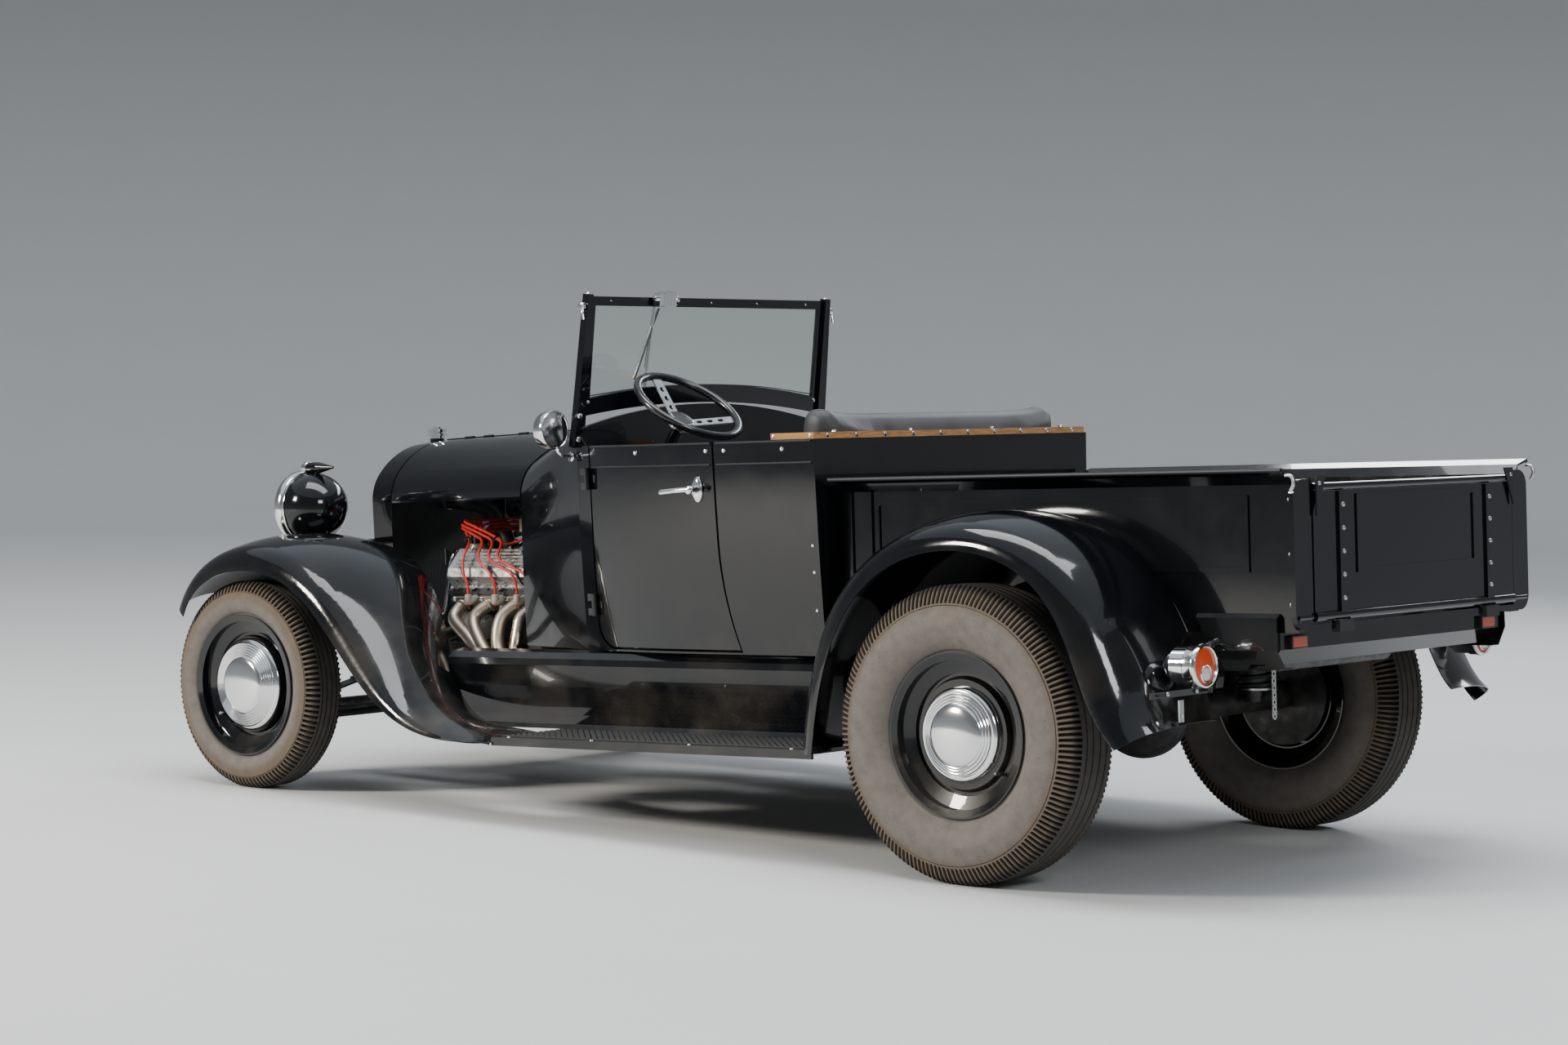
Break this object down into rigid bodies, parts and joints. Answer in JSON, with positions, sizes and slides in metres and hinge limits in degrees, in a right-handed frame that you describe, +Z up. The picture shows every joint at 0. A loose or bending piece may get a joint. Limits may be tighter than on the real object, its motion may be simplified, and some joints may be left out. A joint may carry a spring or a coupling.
{
  "type": "hot rod roadster pickup",
  "caption": "Open-cab roadster pickup built as a hot rod: black body with doors, short bed, open-sided hood over a V8, big rear and small front tyres, raked nose down",
  "frame": {"origin": "on the ground under the middle of the car's box", "axes": "+X forward, +Y to the driver's left, +Z up"},
  "size_m": [3.7614, 1.6886, 1.4562],
  "materials": {
    "body_black": "gloss black coach paint",
    "chassis_black": "satin black chassis paint with road dust",
    "tyre_rubber": "dusty bias-ply rubber",
    "wheel_black": "gloss black wheel enamel",
    "chrome_trim": "bright chrome",
    "radiator_core": "matt black core",
    "glass": "clear flat glass",
    "wheel_rim": "black rim on drilled spokes",
    "seat_leather": "black grained leather",
    "varnished_wood": "varnished ash",
    "board_rubber": "ribbed black rubber on painted steel",
    "engine_cast": "painted casting",
    "polished_alloy": "polished aluminium",
    "lead_red": "red silicone plug lead with black boots",
    "header_steel": "heat-tinted bare steel",
    "lens_red": "red lens"
  },
  "bodies": {
    "chassis": {"body_tub": "body_black", "cowl": "body_black", "radiator_shell": "body_black", "bed": "body_black", "rear_pan": "body_black", "front_fender_left": "body_black", "front_fender_right": "body_black", "rear_fender_left": "body_black", "rear_fender_right": "body_black", "splash_aprons": "body_black", "headlamps": "body_black", "windshield_frame": "body_black", "plate_bracket": "body_black", "steering_column": "body_black", "frame": "chassis_black", "front_axle": "chassis_black", "rear_axle": "chassis_black", "front_suspension": "chassis_black", "rear_suspension": "chassis_black", "fuel_tank": "chassis_black", "radiator_core": "radiator_core", "radiator_cap": "chrome_trim", "windshield_glass": "glass", "wiper": "chrome_trim", "mirror": "chrome_trim", "seat_cushion": "seat_leather", "seat_back": "seat_leather", "wood_rail": "varnished_wood", "running_boards": "board_rubber", "engine": "engine_cast", "valve_covers": "polished_alloy", "intake": "polished_alloy", "air_cleaner": "chassis_black", "driveline": "chassis_black", "exhausts": "header_steel", "distributor": "chassis_black", "plug_leads": "lead_red", "tail_lamps": "chrome_trim", "marker_lamps": "lens_red"},
    "door_left": {"door_left": "body_black"},
    "hood_left": {"hood_left": "body_black"},
    "knuckle_left": {"knuckle_left": "chassis_black"},
    "wheel_front_left": {"wheel_front_left": "wheel_black", "tyre_front_left": "tyre_rubber", "hubcap_front_left": "chrome_trim"},
    "wheel_rear_left": {"wheel_rear_left": "wheel_black", "tyre_rear_left": "tyre_rubber", "hubcap_rear_left": "chrome_trim"},
    "door_right": {"door_right": "body_black"},
    "hood_right": {"hood_right": "body_black"},
    "knuckle_right": {"knuckle_right": "chassis_black"},
    "wheel_front_right": {"wheel_front_right": "wheel_black", "tyre_front_right": "tyre_rubber", "hubcap_front_right": "chrome_trim"},
    "wheel_rear_right": {"wheel_rear_right": "wheel_black", "tyre_rear_right": "tyre_rubber", "hubcap_rear_right": "chrome_trim"},
    "tailgate": {"tailgate": "body_black"},
    "steering_wheel": {"steering_wheel": "wheel_rim"},
    "tie_rod": {"tie_rod": "chassis_black"}
  },
  "joints": [
    {"name": "spin_rear_left", "type": "hinge", "parent": "chassis", "child": "wheel_rear_left", "pos_m": [-1.0565, 0.725, 0.37], "axis": [0, 1, 0], "continuous": true},
    {"name": "steer_left", "type": "hinge", "parent": "chassis", "child": "knuckle_left", "pos_m": [1.5735, 0.632, 0.303], "axis": [0, 0, 1], "range_deg": [-30, 30]},
    {"name": "spin_front_left", "type": "hinge", "parent": "knuckle_left", "child": "wheel_front_left", "pos_m": [1.5735, 0.736, 0.303], "axis": [0, 1, 0], "continuous": true},
    {"name": "spin_rear_right", "type": "hinge", "parent": "chassis", "child": "wheel_rear_right", "pos_m": [-1.0565, -0.725, 0.37], "axis": [0, 1, 0], "continuous": true},
    {"name": "steer_right", "type": "hinge", "parent": "chassis", "child": "knuckle_right", "pos_m": [1.5735, -0.632, 0.303], "axis": [0, 0, 1], "range_deg": [-30, 30]},
    {"name": "spin_front_right", "type": "hinge", "parent": "knuckle_right", "child": "wheel_front_right", "pos_m": [1.5735, -0.736, 0.303], "axis": [0, 1, 0], "continuous": true},
    {"name": "tie_rod_pivot", "type": "hinge", "parent": "knuckle_left", "child": "tie_rod", "pos_m": [1.4235, 0.632, 0.248], "axis": [0, 0, 1], "range_deg": [-30, 30]},
    {"name": "steering_wheel_turn", "type": "hinge", "parent": "chassis", "child": "steering_wheel", "pos_m": [0.27409, 0.35, 1.0919], "axis": [-0.5225, 0, 0.8526], "range_deg": [-360, 360]},
    {"name": "door_left_hinge", "type": "hinge", "parent": "chassis", "child": "door_left", "pos_m": [0.42882, 0.55662, 0.93904], "axis": [-0.0523, -0.0476, -0.9975], "range_deg": [0, 68]},
    {"name": "door_right_hinge", "type": "hinge", "parent": "chassis", "child": "door_right", "pos_m": [0.42882, -0.55662, 0.93904], "axis": [0.0523, -0.0476, 0.9975], "range_deg": [0, 68]},
    {"name": "tailgate_hinge", "type": "hinge", "parent": "chassis", "child": "tailgate", "pos_m": [-1.86871, 0, 0.69295], "axis": [0, -1, 0], "range_deg": [0, 90]},
    {"name": "hood_left_hinge", "type": "hinge", "parent": "chassis", "child": "hood_left", "pos_m": [0.87125, 0, 1.05992], "axis": [0.9968, 0, -0.0799], "range_deg": [0, 75]},
    {"name": "hood_right_hinge", "type": "hinge", "parent": "chassis", "child": "hood_right", "pos_m": [0.87125, 0, 1.05992], "axis": [-0.9968, 0, 0.0799], "range_deg": [0, 75]}
  ],
  "couplings": [
    {"joint": "steer_right", "follows": "steer_left", "ratio": 1},
    {"joint": "tie_rod_pivot", "follows": "steer_left", "ratio": -1},
    {"joint": "steering_wheel_turn", "follows": "steer_left", "ratio": 12}
  ]
}
